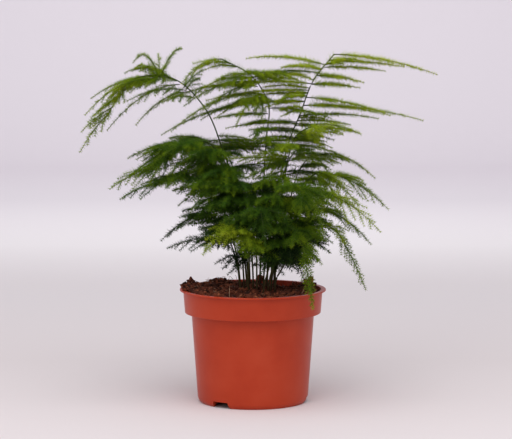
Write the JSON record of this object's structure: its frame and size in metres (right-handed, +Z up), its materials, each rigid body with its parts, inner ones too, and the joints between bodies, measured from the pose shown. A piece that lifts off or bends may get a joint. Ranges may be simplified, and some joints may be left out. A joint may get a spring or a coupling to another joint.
{
  "type": "potted lace fern",
  "caption": "Bushy lace fern with flat, layered sprays of thread-like leaves on wiry stems, rooted in compost in a round plastic nursery pot with a wide collar and foot notches.",
  "frame": {"origin": "centre of the pot's base, on the surface it stands on", "axes": "+Z up; the side seen in the picture faces -Y, with +X to its right"},
  "size_m": [0.289, 0.2028, 0.2899],
  "materials": {
    "pot": "satin",
    "soil": "crumbly peat",
    "foliage": "soft green"
  },
  "bodies": {
    "root": {"pot": "pot", "soil": "soil", "stem_left_high": "foliage", "stem_right_high": "foliage", "stem_centre_top": "foliage", "stem_right_lean": "foliage", "stem_right_arch": "foliage", "stem_right_middle": "foliage", "stem_right_front": "foliage", "stem_right_low": "foliage", "stem_right_droop": "foliage", "stem_front_droop": "foliage", "stem_left_middle": "foliage", "stem_left_back": "foliage", "stem_left_slant": "foliage", "stem_left_bright": "foliage", "stem_left_low": "foliage", "stem_front_middle": "foliage", "stem_front_right": "foliage", "stem_inner_front": "foliage", "stem_inner_left": "foliage", "stem_back_left": "foliage", "stem_back_right": "foliage"}
  },
  "joints": []
}
